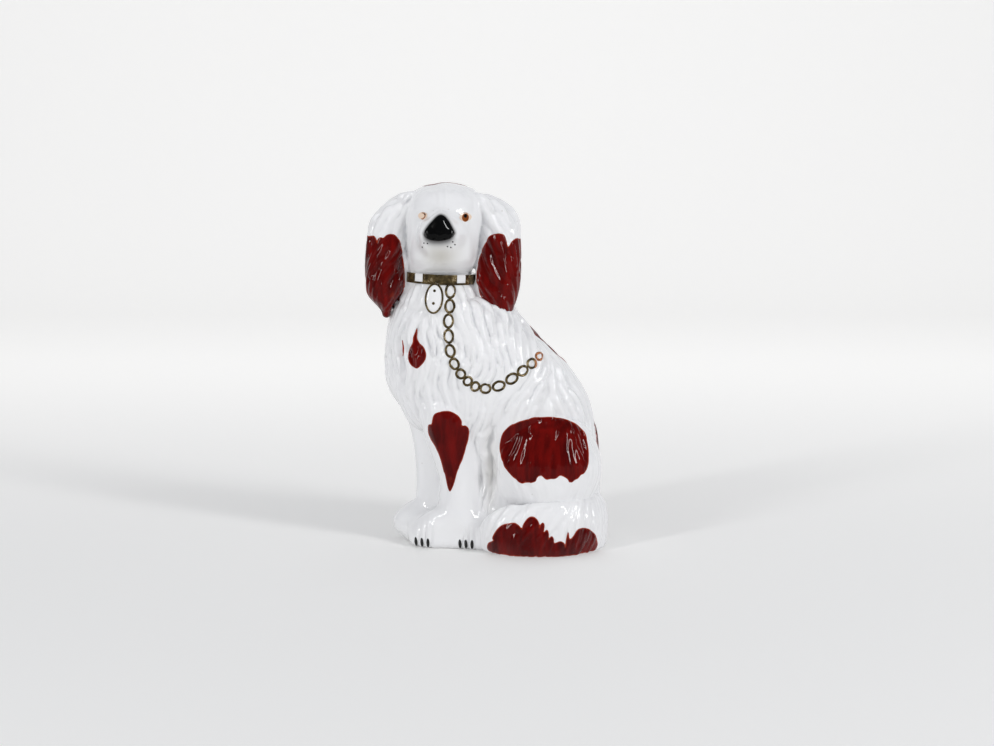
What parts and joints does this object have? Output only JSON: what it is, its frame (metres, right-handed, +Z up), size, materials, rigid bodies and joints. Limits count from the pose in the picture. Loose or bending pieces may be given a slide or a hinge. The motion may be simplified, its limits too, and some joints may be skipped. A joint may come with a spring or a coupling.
{
  "type": "ceramic dog figure",
  "caption": "Seated spaniel mantel ornament in glazed earthenware with hanging ears, wrapped tail, gilt collar, padlock and chain, and red patches.",
  "frame": {"origin": "middle of the footprint box, on the shelf", "axes": "+Z up; the display side faces -Y; the chest is at -X and the rump at +X"},
  "size_m": [0.127, 0.0744, 0.1907],
  "materials": {
    "white_glaze": "glossy",
    "bare_clay": "matte",
    "red_enamel": "glossy",
    "black_enamel": "glossy",
    "iris_enamel": "glossy",
    "gilding": "polished"
  },
  "bodies": {
    "root": {"body_front_half": "white_glaze", "body_back_half": "white_glaze", "base_plate": "bare_clay", "head_front_half": "white_glaze", "head_back_half": "white_glaze", "left_ear": "white_glaze", "right_ear": "white_glaze", "left_foreleg": "white_glaze", "right_foreleg": "white_glaze", "left_hind_paw": "white_glaze", "right_hind_paw": "white_glaze", "tail": "white_glaze", "collar_band": "white_glaze", "padlock": "white_glaze", "collar_gilding": "gilding", "padlock_gilding": "gilding", "chain_gilding": "gilding", "nose_enamel": "black_enamel", "eye_irises": "iris_enamel", "eye_pupils": "black_enamel", "claw_enamel": "black_enamel", "left_ear_enamel": "red_enamel", "right_ear_enamel": "red_enamel", "chest_enamel": "red_enamel", "foreleg_enamel": "red_enamel", "haunch_enamel": "red_enamel", "tail_enamel": "red_enamel", "crown_enamel": "red_enamel", "back_enamel": "red_enamel"}
  },
  "joints": []
}
